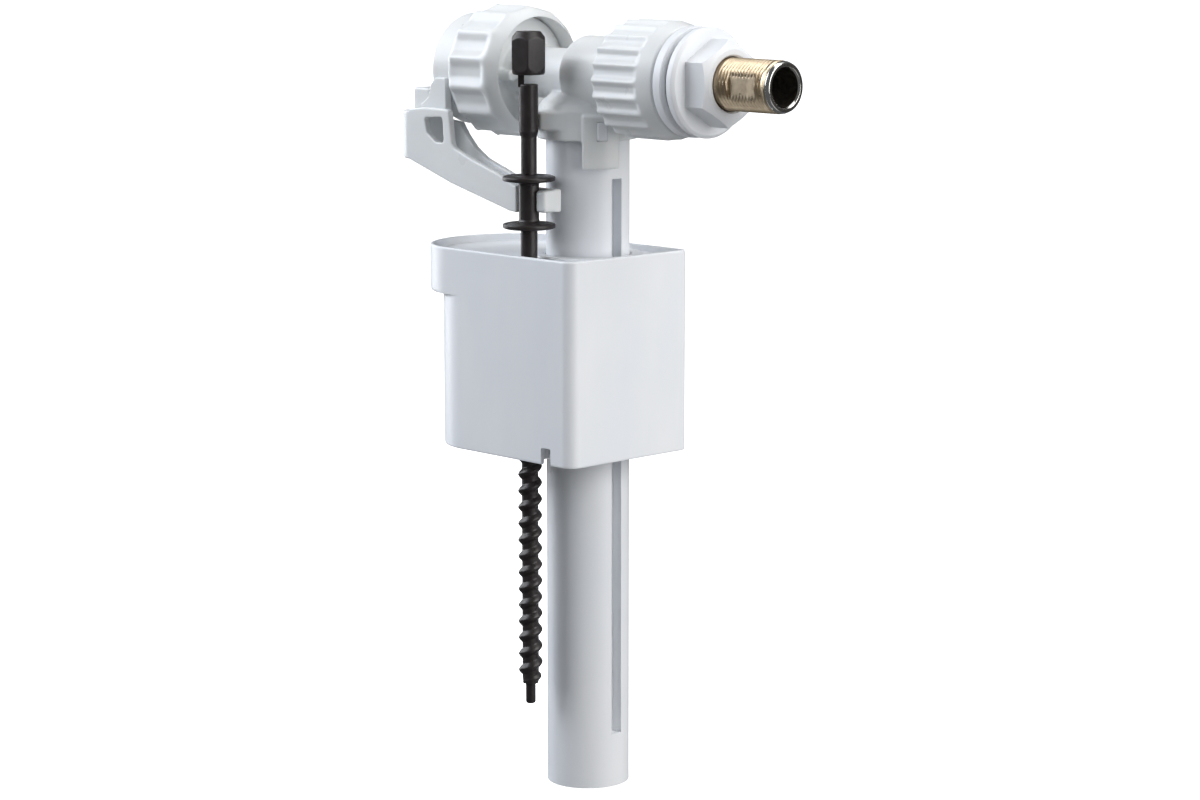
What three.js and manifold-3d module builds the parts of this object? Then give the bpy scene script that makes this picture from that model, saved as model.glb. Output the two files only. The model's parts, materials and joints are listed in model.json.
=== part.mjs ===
// Side-inlet toilet fill valve: brass inlet nipple, diaphragm valve head, lever,
// adjusting spindle, sliding float and standpipe.
// Millimetres, +Z up. The frame's origin is on the nipple axis, in the plane of the
// flange that seats on the cistern wall; +X points out of the cistern.
// Inside the group `valve` the standpipe axis is x = 0, y = 0 and the nipple axis is z = 0.

import * as THREE from 'three';
import { mergeVertices } from 'three/addons/utils/BufferGeometryUtils.js';
import Module from 'manifold-3d';

const wasm = await Module();
wasm.setup();

// ---------------------------------------------------------------- driving dimensions

const GAP = 0.3;                 // clearance between touching pieces
const SEAT_X = 50.3;             // wall seat plane, from the standpipe axis

const PIPE = { r: 14.2, bore: 11.6, foot: -237, top: -12 };
const GROOVE = { width: 4.4, depth: 4.2, low: -219, high: -33, rib: 1.6 };  // backed by a rib inside
const LUG = { angle: -28.5, width: 3.4, low: -20.2, high: -14.3, r: 18.2 };

const SOCKET = { r: 16.6, foot: -20.5, roof: -9.7, top: -5.5 };
const BARREL = { r: 13, x0: -1.4, x1: 18 };          // body of the head, along X
const NECK_R = 8.4;                                  // between the barrel and the bowl
const BOWL = { r: 18.2, x0: -37.9, x1: -31 };        // holds the diaphragm
const SPIGOT = { r: 14.8, bore: 7, x1: 34 };         // threaded end inside the union nut
const OUTLET_R = 4.2;                                // waterway from the seat to the pipe
const TONGUE = { r0: 15.9, r1: 17.7, low: -29.4, high: -12, from: -50, to: -7 };

const CAP = { r: 22.2, flute: 1.9, ribs: 14, x0: -47, x1: -23.8, rim: 4.4 };
const DRUM = { r: 18.7, cavity: 14.5, x0: -57, wall: 2.4 };
const DIAPHRAGM = { r: 18, thick: 1.5, plate: 9.3 };

const NUT = { r: 19.35, flute: 1.1, ribs: 22, x0: 20, ribEnd: 40.5, x1: 46.3, nose: 17.3 };
const FLANGE_R = 17.6;                               // seat flange and counter nut flange
const SEAT_FLANGE = 3.6;
const GASKET = { r: 15, recess: 0.5 };               // lies in a shallow recess of the seat flange
const COUNTER = { x0: 52.6, flange: 3.3, flats: 24.1, x1: 65 };
const NIPPLE = { r: 8.33, bore: 6.05, x0: 37.2, x1: 87.5 };
const STRAINER = { x0: 56, x1: 74 };

const FLOAT = {
  x1: 22.3, y0: -29.5, y1: 24.5, lowEnd: -54, lipEnd: -61, endDepth: 23,
  rim: -57.3, rimWall: 1.3, plate: -60, lip: -72.9, foot: -124.4, wall: 1.5, near: 4.2, far: 3,
};
const SLEEVE = { r: 16.5, bore: 14.9, flange: 18.2, flangeThick: 1.4 };  // inside the float
const KEY_WIDTH = 3.4;
const WELL = { r: 6.4, bore: 4.7 };                  // the spindle's passage through the float
const BUSH = { r: 5.45, bore: 4.4, length: 12.3 };
const NOTCH = { x: [8.6, 13.2], height: 5.6 };       // drain notch in the near wall
const SPINDLE = { x: -4, y: -23, top: 14.9, tip: -207.5, flats: 10.7 };
const THREAD = { pitch: 5.5, helixR: 2.75, wireR: 1.25, start: -117, turns: 15 };
const COLLAR = { r: 8.6, sleeve: 3.3, bore: 2.5, top: -31.3, foot: -49.2, disc: 2.6 };

const LEVER = { y0: -22.6, y1: -9.4, wall: 2.3, endX: -64, frontEnd: -10.2, top: -13.2, low: -30 };
const PIVOT = { x: -61, z: -20, r: 1.45, cover: 0.9 };   // the near arm's hole is blind
const PILOT = { y: -16, z: -26.5, tip: -66.3 };

// ---------------------------------------------------------------- colours

const WHITE = { color: 0xeef0f2, roughness: 0.42, metalness: 0 };
const MILKY = { color: 0xdcdfe0, roughness: 0.35, metalness: 0 };
const DARK = { color: 0x1c1512, roughness: 0.4, metalness: 0 };
const RUBBER = { color: 0x2a2a2c, roughness: 0.85, metalness: 0 };
const PALE_RUBBER = { color: 0xc9c7c4, roughness: 0.8, metalness: 0 };
const BRASS = { color: 0xc9ae78, roughness: 0.25, metalness: 1 };
const STEEL = { color: 0xb9bcc0, roughness: 0.25, metalness: 1 };

// ---------------------------------------------------------------- solids

const rad = THREE.MathUtils.degToRad;
const SEGMENTS = 36;             // round the visible turned pieces
const INNER = 24;                // round the hidden ones

function solid(geometry) {
  const open = geometry.clone();
  open.deleteAttribute('normal');
  open.deleteAttribute('uv');
  const merged = mergeVertices(open, 1e-5);
  const index = merged.index.array;
  const triangles = [];
  for (let i = 0; i < index.length; i += 3) {
    const [a, b, c] = [index[i], index[i + 1], index[i + 2]];
    if (a !== b && b !== c && c !== a) triangles.push(a, b, c);
  }
  return new wasm.Manifold(new wasm.Mesh({
    numProp: 3,
    vertProperties: new Float32Array(merged.attributes.position.array),
    triVerts: new Uint32Array(triangles),
  }));
}

function join(first, ...others) {
  return others.reduce((sum, other) => sum.add(other), first);
}

function cut(body, ...tools) {
  return tools.reduce((rest, tool) => rest.subtract(tool), body);
}

function place(geometry, matrix) {
  return solid(geometry.applyMatrix4(matrix));
}

// Bases that send a shape's own X, Y and extrusion Z to the valve's axes.
const AXES = {
  x: new THREE.Matrix4().set(0, 0, 1, 0, 1, 0, 0, 0, 0, 1, 0, 0, 0, 0, 0, 1),
  y: new THREE.Matrix4().set(1, 0, 0, 0, 0, 0, -1, 0, 0, 1, 0, 0, 0, 0, 0, 1),
  z: new THREE.Matrix4(),
};

function extrude(axis, shape, low, high) {
  const geometry = new THREE.ExtrudeGeometry(shape, {
    depth: high - low, bevelEnabled: false, curveSegments: 10,
  });
  geometry.applyMatrix4(AXES[axis]);
  const move = { x: [low, 0, 0], y: [0, high, 0], z: [0, 0, low] }[axis];
  return place(geometry, new THREE.Matrix4().makeTranslation(...move));
}

function box(x0, x1, y0, y1, z0, z1) {
  const geometry = new THREE.BoxGeometry(x1 - x0, y1 - y0, z1 - z0);
  const centre = [(x0 + x1) / 2, (y0 + y1) / 2, (z0 + z1) / 2];
  return place(geometry, new THREE.Matrix4().makeTranslation(...centre));
}

// A turned solid. `points` are [radius, position along the axis], rising outside.
function turn(axis, points, at = [0, 0, 0], segments = SEGMENTS) {
  const outline = points.map(([r, p]) => new THREE.Vector2(r, p));
  const geometry = new THREE.LatheGeometry(outline, segments);
  if (axis === 'x') geometry.rotateZ(-Math.PI / 2);
  if (axis === 'z') geometry.rotateX(Math.PI / 2);
  return place(geometry, new THREE.Matrix4().makeTranslation(...at));
}

function rod(axis, r, low, high, at = [0, 0, 0], segments = SEGMENTS) {
  return turn(axis, [[0, low], [r, low], [r, high], [0, high]], at, segments);
}

function ring(axis, rOut, rIn, low, high, at, segments) {
  const outline = [[rIn, low], [rOut, low], [rOut, high], [rIn, high], [rIn, low]];
  return turn(axis, outline, at, segments);
}

function outline(points) {
  return new THREE.Shape(points.map(([a, b]) => new THREE.Vector2(a, b)));
}

function polygon(sides, radius, turned) {
  const points = [];
  for (let i = 0; i < sides; i += 1) {
    const angle = rad((360 * i) / sides + turned);
    points.push([radius * Math.cos(angle), radius * Math.sin(angle)]);
  }
  return outline(points);
}

// Section of a ribbed grip: narrow round ribs with wide flutes between them. The first rib is on
// the shape's X, unless `phase` turns the wave.
function flutedShape(r, flute, ribs, phase = 0) {
  const steps = ribs * 5;
  const points = [];
  for (let i = 0; i < steps; i += 1) {
    const angle = (i / steps) * Math.PI * 2;
    const radius = r - flute * (1 - Math.cos((angle * ribs) / 2 + phase) ** 4);
    points.push([radius * Math.cos(angle), radius * Math.sin(angle)]);
  }
  return outline(points);
}

function sectorShape(rIn, rOut, from, to) {
  const shape = new THREE.Shape();
  shape.absarc(0, 0, rOut, rad(from), rad(to), false);
  shape.absarc(0, 0, rIn, rad(to), rad(from), true);
  return shape;
}

const valve = new THREE.Group();
valve.position.x = -SEAT_X;

function add(name, manifold, look, at = [0, 0, 0]) {
  const { vertProperties, triVerts } = manifold.getMesh();
  const geometry = new THREE.BufferGeometry();
  geometry.setAttribute('position', new THREE.BufferAttribute(vertProperties, 3));
  geometry.setIndex(new THREE.BufferAttribute(triVerts, 1));
  geometry.computeVertexNormals();
  const mesh = new THREE.Mesh(geometry, new THREE.MeshStandardMaterial(look));
  mesh.name = name;
  mesh.position.set(...at);
  valve.add(mesh);
}

// ---------------------------------------------------------------- standpipe

function standpipe() {
  const tube = ring('z', PIPE.r, PIPE.bore, PIPE.foot, PIPE.top);
  const floor = PIPE.r - GROOVE.depth;
  const half = GROOVE.width / 2;
  const groove = box(floor, PIPE.r + 2, -half, half, GROOVE.low, GROOVE.high);
  const rib = box(floor - GROOVE.rib, PIPE.bore + 0.5, -half - GROOVE.rib, half + GROOVE.rib,
    GROOVE.low - GROOVE.rib, GROOVE.high + GROOVE.rib);
  const lug = box(PIPE.r - 1.5, LUG.r, -LUG.width / 2, LUG.width / 2, LUG.low, LUG.high)
    .rotate([0, 0, LUG.angle]);
  return join(cut(join(tube, rib), groove), lug);
}

// A sleeve with crossed vanes that breaks up the jet below the head, open where the pipe's rib runs.
function flowBreaker() {
  const r = PIPE.bore - GAP;
  const [low, high, wall] = [-58, -30, 1.2];
  const sleeve = ring('z', r, r - wall, low, high, [0, 0, 0], INNER);
  const vane = box(-r + 0.5, r - 0.5, -wall / 2, wall / 2, low + 2, high);
  const ribHalf = GROOVE.width / 2 + GROOVE.rib + GAP;
  const ribWay = box(PIPE.r - GROOVE.depth - GROOVE.rib - GAP, r + 1, -ribHalf, ribHalf, low - 1, high + 1);
  return cut(join(sleeve, vane, vane.rotate([0, 0, 90])), ribWay);
}

// ---------------------------------------------------------------- valve head

function valveHead() {
  const socket = turn('z', [
    [0, SOCKET.foot], [SOCKET.r, SOCKET.foot], [SOCKET.r, SOCKET.roof - 1.5],
    [SOCKET.r - 1.2, SOCKET.roof + 1.2], [SOCKET.r - 5, SOCKET.top], [0, SOCKET.top],
  ]);
  const body = turn('x', [
    [0, BOWL.x0], [BOWL.r, BOWL.x0], [BOWL.r, BOWL.x1], [NECK_R + 1.5, BOWL.x1],
    [NECK_R, BOWL.x1 + 1.5], [NECK_R, BARREL.x0], [BARREL.r - 1.5, BARREL.x0],
    [BARREL.r, BARREL.x0 + 1.5], [BARREL.r, BARREL.x1], [SPIGOT.r, BARREL.x1],
    [SPIGOT.r, SPIGOT.x1], [0, SPIGOT.x1],
  ]);
  const tongue = extrude('z', sectorShape(TONGUE.r0, TONGUE.r1, TONGUE.from, TONGUE.to),
    TONGUE.low, TONGUE.high);
  const skirt = extrude('z', sectorShape(PIPE.r + GAP, TONGUE.r0 + 0.5, TONGUE.from, TONGUE.to),
    TONGUE.low + 6, SOCKET.foot + 1);
  const bleedNub = rod('x', 1.9, BOWL.x1 - 1, BOWL.x1 + 6, [0, -10.6, -0.8], 14);
  const saddleY = SPINDLE.y + 2.4;
  const saddle = extrude('z', outline([
    [-8.4, saddleY], [-2.4, saddleY], [9, -13.6], [0.4, -12], [-8.4, -12],
  ]), -17, -11);

  const pipeBore = rod('z', PIPE.r + GAP, SOCKET.foot - 12, SOCKET.roof);
  const lugWindow = box(10, 22, -LUG.width / 2 - GAP, LUG.width / 2 + GAP,
    LUG.low - GAP, LUG.high + GAP).rotate([0, 0, LUG.angle]);
  const chamber = ring('x', 15.5, 8.2, BOWL.x0 - 1, BOWL.x0 + 4.4);
  const seatRecess = rod('x', 6.2, BOWL.x0 - 1, BOWL.x0 + 3.9);
  const seatStep = ring('x', 8.6, 0.01, BOWL.x0 - 1, BOWL.x0 + 1.6);
  const outlet = rod('x', OUTLET_R, BOWL.x0, 6);
  const drop = rod('z', 5, SOCKET.roof - 1, 0, [3, 0, 0], 24);
  const inlet = rod('x', SPIGOT.bore, 13, SPIGOT.x1 + 1);
  const duct = rod('x', 1.5, BOWL.x0 + 3, 14, [0, 0, 6.3], 12);
  const spindleBore = rod('z', 3.1 + 0.5, -20, -8, [SPINDLE.x, SPINDLE.y, 0], 24);
  return cut(join(socket, body, tongue, skirt, bleedNub, saddle), pipeBore, lugWindow, chamber,
    seatRecess, seatStep, outlet, drop, inlet, duct, spindleBore);
}

function valveSeat() {
  return turn('x', [
    [OUTLET_R + 0.3, BOWL.x0 + 1], [5, BOWL.x0 + 0.9], [5.9, BOWL.x0 + 1.6],
    [5.9, BOWL.x0 + 3.6], [OUTLET_R + 0.3, BOWL.x0 + 3.6], [OUTLET_R + 0.3, BOWL.x0 + 1],
  ]);
}

// ---------------------------------------------------------------- diaphragm side

function diaphragmCap() {
  const ribEnd = CAP.x1 - CAP.rim;
  const grip = extrude('x', flutedShape(CAP.r, CAP.flute, CAP.ribs, Math.PI / 2), CAP.x0 + 1.5, ribEnd);
  const rim = turn('x', [
    [0, ribEnd - 0.5], [CAP.r - 1, ribEnd - 0.5], [CAP.r - 0.6, ribEnd], [CAP.r - 1.2, ribEnd + 1.2],
    [CAP.r - 3.1, CAP.x1 - 0.4], [CAP.r - 3.5, CAP.x1], [0, CAP.x1],
  ]);
  const shoulder = turn('x', [
    [0, CAP.x0], [CAP.r - 3.2, CAP.x0], [CAP.r - 1.6, CAP.x0 + 2], [0, CAP.x0 + 2],
  ]);
  const bore = rod('x', BOWL.r + GAP, CAP.x0 + 2.5, CAP.x1 + 1);
  const rearHole = rod('x', DRUM.r - 1.6, CAP.x0 - 1, CAP.x0 + 3);
  return cut(join(grip, rim, shoulder), bore, rearHole);
}

function pilotHousing() {
  const flangeX0 = CAP.x0 + 2.5 + GAP;
  const flangeX1 = BOWL.x0 - DIAPHRAGM.thick - 2 * GAP;
  const shell = turn('x', [
    [0, DRUM.x0], [DRUM.r - 1.5, DRUM.x0], [DRUM.r, DRUM.x0 + 1.5], [DRUM.r, CAP.x0 - GAP],
    [DRUM.r - 2, CAP.x0 - GAP], [DRUM.r - 2, flangeX0], [BOWL.r, flangeX0],
    [BOWL.r, flangeX1], [0, flangeX1],
  ]);
  const cheek = extrude('y', outline([
    [-60.5, -14], [-60.5, -11.5], [-57, -9], [-55.6, -4.5], [-53, -2.2], [-47.9, -2.2],
    [-47.9, -14],
  ]), -19.8, -17);
  const block = box(PIVOT.x - 4, DRUM.x0 + 0.6, -19.6, -12.2, -29, -6);
  const cavity = rod('x', DRUM.cavity, DRUM.x0 + DRUM.wall, flangeX1 + 1);
  const pinHole = rod('y', PIVOT.r + GAP, -25, -5, [PIVOT.x, 0, PIVOT.z], 16);
  const nozzleHole = rod('x', 1.6, PIVOT.x - 6, PIVOT.x + 1, [0, PILOT.y, PILOT.z], 16);
  return cut(join(shell, cheek, block), cavity, pinHole, nozzleHole);
}

function pilotNozzle() {
  return turn('x', [
    [0.5, PILOT.tip], [0.9, PILOT.tip], [1.3, PILOT.tip + 1.2], [1.3, PIVOT.x + 0.7],
    [0.5, PIVOT.x + 0.7], [0.5, PILOT.tip],
  ], [0, PILOT.y, PILOT.z], 16);
}

function diaphragmPlate() {
  const x1 = BOWL.x0 - GAP;
  return turn('x', [
    [1, x1 - 4], [5, x1 - 4], [5.5, x1 - 3.2], [DIAPHRAGM.plate, x1 - 2.6],
    [DIAPHRAGM.plate, x1], [1, x1], [1, x1 - 4],
  ]);
}

// ---------------------------------------------------------------- lever

function lever() {
  const { y0, y1, wall, endX, frontEnd, top, low } = LEVER;
  const midY = (y0 + y1) / 2;
  const endR = (y1 - y0) / 2;
  const front = extrude('y', outline([
    [endX, low], [-42.3, -36.9], [-13.5, -44], [frontEnd, -44.2], [frontEnd, -35.6], [-13, -34.9],
    [-18.8, -32.2], [-30.8, -28.6], [-41.8, -24.7], [-43.5, -12.4], [-56, -12.2], [endX, top],
  ]), y0, y0 + wall);
  const window = extrude('y', outline([
    [-55.8, -15.6], [-46.6, -15], [-46, -23.6], [-50, -23.6], [-54.6, -20.6],
  ]), y0 - 1, y0 + wall + 1);
  const rearStub = extrude('y', outline([
    [endX, low], [-50, -33.5], [-50, -17.4], [-58, -16.6], [endX, -14.8],
  ]), y1 - wall, y1);
  const slant = new THREE.Matrix4().set(1, 0, 0, 0, -0.17, 1, 0, 50 * -0.17, 0, 0, 1, 0, 0, 0, 0, 1);
  const rearShape = new THREE.ExtrudeGeometry(outline([
    [-50.2, -33.5], [-13, -43], [-13, -35.2], [-20, -32], [-34, -28.6], [-41, -25.4],
    [-46, -21.6], [-50.2, -17.4],
  ]), { depth: wall, bevelEnabled: false }).applyMatrix4(AXES.y);
  rearShape.applyMatrix4(new THREE.Matrix4().makeTranslation(0, y1, 0));
  const rear = place(rearShape, slant);

  const loop = new THREE.Shape();
  loop.moveTo(endX + 1, y0);
  loop.lineTo(endX + 1, y0 + wall);
  loop.lineTo(endX, y0 + wall);
  loop.absarc(endX, midY, endR - wall, rad(-90), rad(90), true);
  loop.lineTo(endX + 1, y1 - wall);
  loop.lineTo(endX + 1, y1);
  loop.lineTo(endX, y1);
  loop.absarc(endX, midY, endR, rad(90), rad(270), false);
  const end = extrude('z', loop, low, top - 0.6);

  const nose = endX - endR;
  const roundedHeel = extrude('y', outline([
    [nose - 1, -24.5], [nose + 0.1, -24.5], [nose + 0.2, -27.2], [nose + 0.7, -29],
    [nose + 1.9, low - 0.1], [nose - 1, low - 0.1],
  ]), y0 - 1, y1 + 1);

  const back = box(-15.5, 3.6, -19.1, -15.6, -43.4, -36);
  const prong = box(-0.2, 3.6, -23.4, -16, -43.4, -36.2);
  const pinHole = rod('y', PIVOT.r + GAP, y0 + PIVOT.cover, y1 + 2, [PIVOT.x, 0, PIVOT.z], 18);
  const padSeat = box(endX - 4.6, endX - 1, midY - 2.5, midY + 2.5, PILOT.z - 2.5, PILOT.z + 2.5);
  return cut(join(front, rearStub, rear, end, back, prong), window, pinHole, padSeat, roundedHeel);
}

function leverPin() {
  const inner = LEVER.y0 + PIVOT.cover + GAP;
  const head = LEVER.y1 + GAP;
  return turn('y', [
    [0, inner], [PIVOT.r, inner], [PIVOT.r, head], [2.4, head], [2.4, head + 1], [1.9, head + 1.4],
    [0, head + 1.4],
  ], [PIVOT.x, 0, PIVOT.z], 20);
}

// ---------------------------------------------------------------- spindle and float

const THREAD_FOOT = THREAD.start - THREAD.pitch * THREAD.turns;

// Right-handed, climbing from the foot of the thread.
class Helix extends THREE.Curve {
  getPoint(t, target = new THREE.Vector3()) {
    const angle = t * THREAD.turns * Math.PI * 2;
    return target.set(THREAD.helixR * Math.cos(angle), THREAD.helixR * Math.sin(angle),
      THREAD_FOOT + THREAD.pitch * THREAD.turns * t);
  }
}

function spindle() {
  const hex = polygon(6, SPINDLE.flats / Math.sqrt(3), 16);
  const head = extrude('z', hex, 1, SPINDLE.top).intersect(turn('z', [
    [0, 1], [5, 1], [7, 5.3], [7, SPINDLE.top - 4], [3.9, SPINDLE.top], [0, SPINDLE.top],
  ]));
  const webAngle = 226;
  const web = box(1.4, 3.4, -1.3, 1.3, -3, 2).rotate([0, 0, webAngle]);
  const shaft = turn('z', [
    [0, SPINDLE.tip], [1.3, SPINDLE.tip], [1.65, SPINDLE.tip + 0.8], [1.65, THREAD_FOOT - 1],
    [2.6, THREAD_FOOT], [2.75, COLLAR.foot - GAP], [COLLAR.bore - GAP, COLLAR.foot - GAP],
    [COLLAR.bore - GAP, COLLAR.top + GAP], [2.6, COLLAR.top + GAP], [2.6, -19],
    [3.1, -17.5], [3.1, -2], [0, -2],
  ], [0, 0, 0], 12);
  const thread = solid(new THREE.ExtrudeGeometry(polygon(5, THREAD.wireR, 0), {
    steps: THREAD.turns * 6, extrudePath: new Helix(), bevelEnabled: false,
  }));
  return join(head, web, shaft, thread);
}

function leverCollar() {
  const { r, sleeve, bore, top, foot, disc } = COLLAR;
  return turn('z', [
    [bore, foot], [sleeve + 1, foot], [r - 0.6, foot + 0.5], [r, foot + 1.2],
    [r - 0.6, foot + 1.9], [sleeve, foot + disc], [sleeve, top - disc],
    [r - 0.6, top - 2.1], [r, top - 1.3], [r - 0.6, top - 0.6], [sleeve + 1, top],
    [bore, top], [bore, foot],
  ], [0, 0, 0], 28);
}

function floatShape(end, inset) {
  const { x1, y0, y1, endDepth, near, far } = FLOAT;
  const [right, low, high] = [x1 - inset, y0 + inset, y1 - inset];
  const [nearR, farR] = [near - inset, far - inset];
  const centreX = end + endDepth;
  const shape = new THREE.Shape();
  shape.absarc(right - nearR, low + nearR, nearR, rad(-90), 0, false);
  shape.absarc(right - farR, high - farR, farR, 0, rad(90), false);
  shape.absellipse(centreX, (low + high) / 2, endDepth - inset, (high - low) / 2,
    rad(90), rad(270), false, 0);
  return shape;
}

function floatBody() {
  const { rim, plate, lip, foot, wall, lowEnd, lipEnd, y0 } = FLOAT;
  const outer = join(
    extrude('z', floatShape(lipEnd, 0), lip, rim),
    extrude('z', floatShape(lowEnd, 0), foot, lip + 1),
  );
  const air = join(
    extrude('z', floatShape(lipEnd, wall), lip + wall, plate - wall),
    extrude('z', floatShape(lowEnd, wall), foot - 1, lip + wall + 1),
  );
  const recess = extrude('z', floatShape(lipEnd, FLOAT.rimWall), plate, rim + 1);
  const at = [SPINDLE.x, SPINDLE.y, 0];
  const well = rod('z', WELL.r, foot, plate, at, INNER);
  return cut(join(cut(outer, air, recess), well),
    rod('z', SLEEVE.r + GAP, foot - 1, plate + 1),
    rod('z', WELL.bore, foot - 1, plate + 1, at, INNER),
    rod('z', BUSH.r + GAP, foot - 1, foot + BUSH.length + GAP, at, INNER),
    box(...NOTCH.x, y0 - 1, y0 + wall + 1, foot - 1, foot + NOTCH.height));
}

// Sleeve that slides on the standpipe, hung by its flange and keyed in the groove.
function floatGuide() {
  const { plate, foot } = FLOAT;
  const low = foot + GAP;
  const top = plate + GAP + SLEEVE.flangeThick;
  const tube = turn('z', [
    [SLEEVE.bore, low], [SLEEVE.r, low], [SLEEVE.r, plate + GAP], [SLEEVE.flange, plate + GAP],
    [SLEEVE.flange, top], [SLEEVE.bore, top], [SLEEVE.bore, low],
  ]);
  const key = box(PIPE.r - GROOVE.depth + 0.4, SLEEVE.bore + 0.5, -KEY_WIDTH / 2, KEY_WIDTH / 2,
    low, plate - 2);
  return join(tube, key);
}

// ---------------------------------------------------------------- inlet side

function unionNut() {
  const grip = extrude('x', flutedShape(NUT.r, NUT.flute, NUT.ribs), NUT.x0, NUT.ribEnd);
  const nose = turn('x', [
    [0, NUT.ribEnd - 2], [NUT.r - 1.2, NUT.ribEnd - 2], [NUT.r - 0.3, NUT.ribEnd],
    [NUT.nose, NUT.x1], [0, NUT.x1],
  ]);
  return cut(join(grip, nose), rod('x', SPIGOT.r + GAP, NUT.x0 - 1, 41), rod('x', 10.4, 40, NUT.x1 + 1));
}

function inletConnector() {
  return turn('x', [
    [9.9, 36.9], [14.6, 36.9], [14.6, 40.7], [10.1, 40.7], [10.1, SEAT_X - SEAT_FLANGE],
    [FLANGE_R - 0.5, SEAT_X - SEAT_FLANGE], [FLANGE_R, SEAT_X - SEAT_FLANGE + 0.5],
    [FLANGE_R, SEAT_X], [GASKET.r + 0.4, SEAT_X], [GASKET.r + 0.4, SEAT_X - GASKET.recess],
    [NIPPLE.r + GAP, SEAT_X - GASKET.recess], [NIPPLE.r + GAP, 39], [9.9, 39], [9.9, 36.9],
  ]);
}

function brassNipple() {
  const { r, bore, x0, x1 } = NIPPLE;
  const tube = turn('x', [
    [bore, x0], [9.6, x0], [9.6, x0 + 1.5], [r, x0 + 1.5], [r, x1 - 2.6], [r - 0.9, x1 - 2.3],
    [r - 0.9, x1 - 1.7], [r - 0.1, x1 - 1.4], [r - 0.6, x1], [bore + 0.4, x1],
    [bore, x1 - 0.6], [bore, x0],
  ]);
  return cut(tube, box(70, 81, -10, -7.05, -6, 6));
}

function counterNut() {
  const { x0, flange, flats, x1 } = COUNTER;
  const plate = turn('x', [
    [0, x0], [FLANGE_R - 0.4, x0], [FLANGE_R, x0 + 0.5], [FLANGE_R, x0 + flange - 0.7],
    [FLANGE_R - 0.8, x0 + flange], [0, x0 + flange],
  ]);
  const hex = extrude('x', polygon(6, flats / Math.sqrt(3), 30), x0 + 1, x1).intersect(turn('x', [
    [0, x0], [flats, x0], [flats, x0 + 2], [flats / 2 + 1.9, x1 - 1.8], [flats / 2 - 1.2, x1], [0, x1],
  ]));
  return cut(join(plate, hex), rod('x', NIPPLE.r + GAP + 0.1, x0 - 1, x1 + 1));
}

function strainer() {
  const r = NIPPLE.bore - GAP;
  const { x0, x1 } = STRAINER;
  const cup = turn('x', [
    [0, x0], [r - 0.8, x0], [r, x0 + 1], [r, x1], [r - 0.9, x1], [r - 0.9, x0 + 1.4], [r - 1.3, x0 + 1],
    [0, x0 + 1],
  ], [0, 0, 0], 24);
  const slots = [0, 60, 120].map((angle) => box(x0 + 3, x1 - 3, -8, 8, -0.9, 0.9).rotate([angle, 0, 0]));
  return cut(cup, ...slots);
}

// ---------------------------------------------------------------- assembly

const SPINDLE_AXIS = [SPINDLE.x, SPINDLE.y, 0];

add('standpipe', standpipe(), WHITE);
add('flow_breaker', flowBreaker(), WHITE);
add('valve_head', valveHead(), MILKY);
add('pipe_seal', ring('z', PIPE.r, PIPE.bore + 0.3, PIPE.top + GAP, SOCKET.roof - GAP), RUBBER);
add('valve_seat', valveSeat(), WHITE);
add('diaphragm_cap', diaphragmCap(), MILKY);
add('pilot_housing', pilotHousing(), MILKY);
add('diaphragm', ring('x', DIAPHRAGM.r, DIAPHRAGM.plate + 0.5,
  BOWL.x0 - DIAPHRAGM.thick - GAP, BOWL.x0 - GAP), RUBBER);
add('diaphragm_plate', diaphragmPlate(), WHITE);
add('control_pin', rod('x', 0.6, DRUM.x0 + DRUM.wall + GAP, BOWL.x0 + 6, [0, 0, 0], 12), STEEL);
add('pilot_nozzle', pilotNozzle(), BRASS);
add('pilot_seal', rod('x', 2.1, LEVER.endX - 4.3, PILOT.tip - 1.05, [0, PILOT.y, PILOT.z], 20), RUBBER);
add('lever', lever(), MILKY);
add('lever_pin', leverPin(), WHITE);
add('spindle', spindle(), DARK, SPINDLE_AXIS);
add('lever_collar', leverCollar(), DARK, SPINDLE_AXIS);
add('float', floatBody(), WHITE);
add('float_guide', floatGuide(), WHITE);
add('float_bush', ring('z', BUSH.r, BUSH.bore, FLOAT.foot + 0.2, FLOAT.foot + BUSH.length,
  [0, 0, 0], INNER), WHITE, SPINDLE_AXIS);
add('union_nut', unionNut(), MILKY);
add('union_seal', ring('x', 14.5, 8, SPIGOT.x1 + GAP, 36.9 - GAP), RUBBER);
add('inlet_connector', inletConnector(), WHITE);
add('brass_nipple', brassNipple(), BRASS);
add('wall_gasket', ring('x', GASKET.r, NIPPLE.r + 0.4, SEAT_X - GASKET.recess + GAP,
  COUNTER.x0 - GAP), PALE_RUBBER);
add('counter_nut', counterNut(), WHITE);
add('inlet_strainer', strainer(), WHITE);
add('flow_restrictor', ring('x', NIPPLE.bore - GAP, 2, 50, 54, [0, 0, 0], 24), WHITE);

export default new THREE.Group().add(valve);
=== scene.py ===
"""Looks for a side-inlet toilet fill valve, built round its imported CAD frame.

Pieces are modelled in millimetres from the standpipe's axis (X, Y) and the inlet's axis (Z),
and make() puts them in the frame. Where a piece ends is read from the box of its CAD node.
"""

import json
import math

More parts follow.
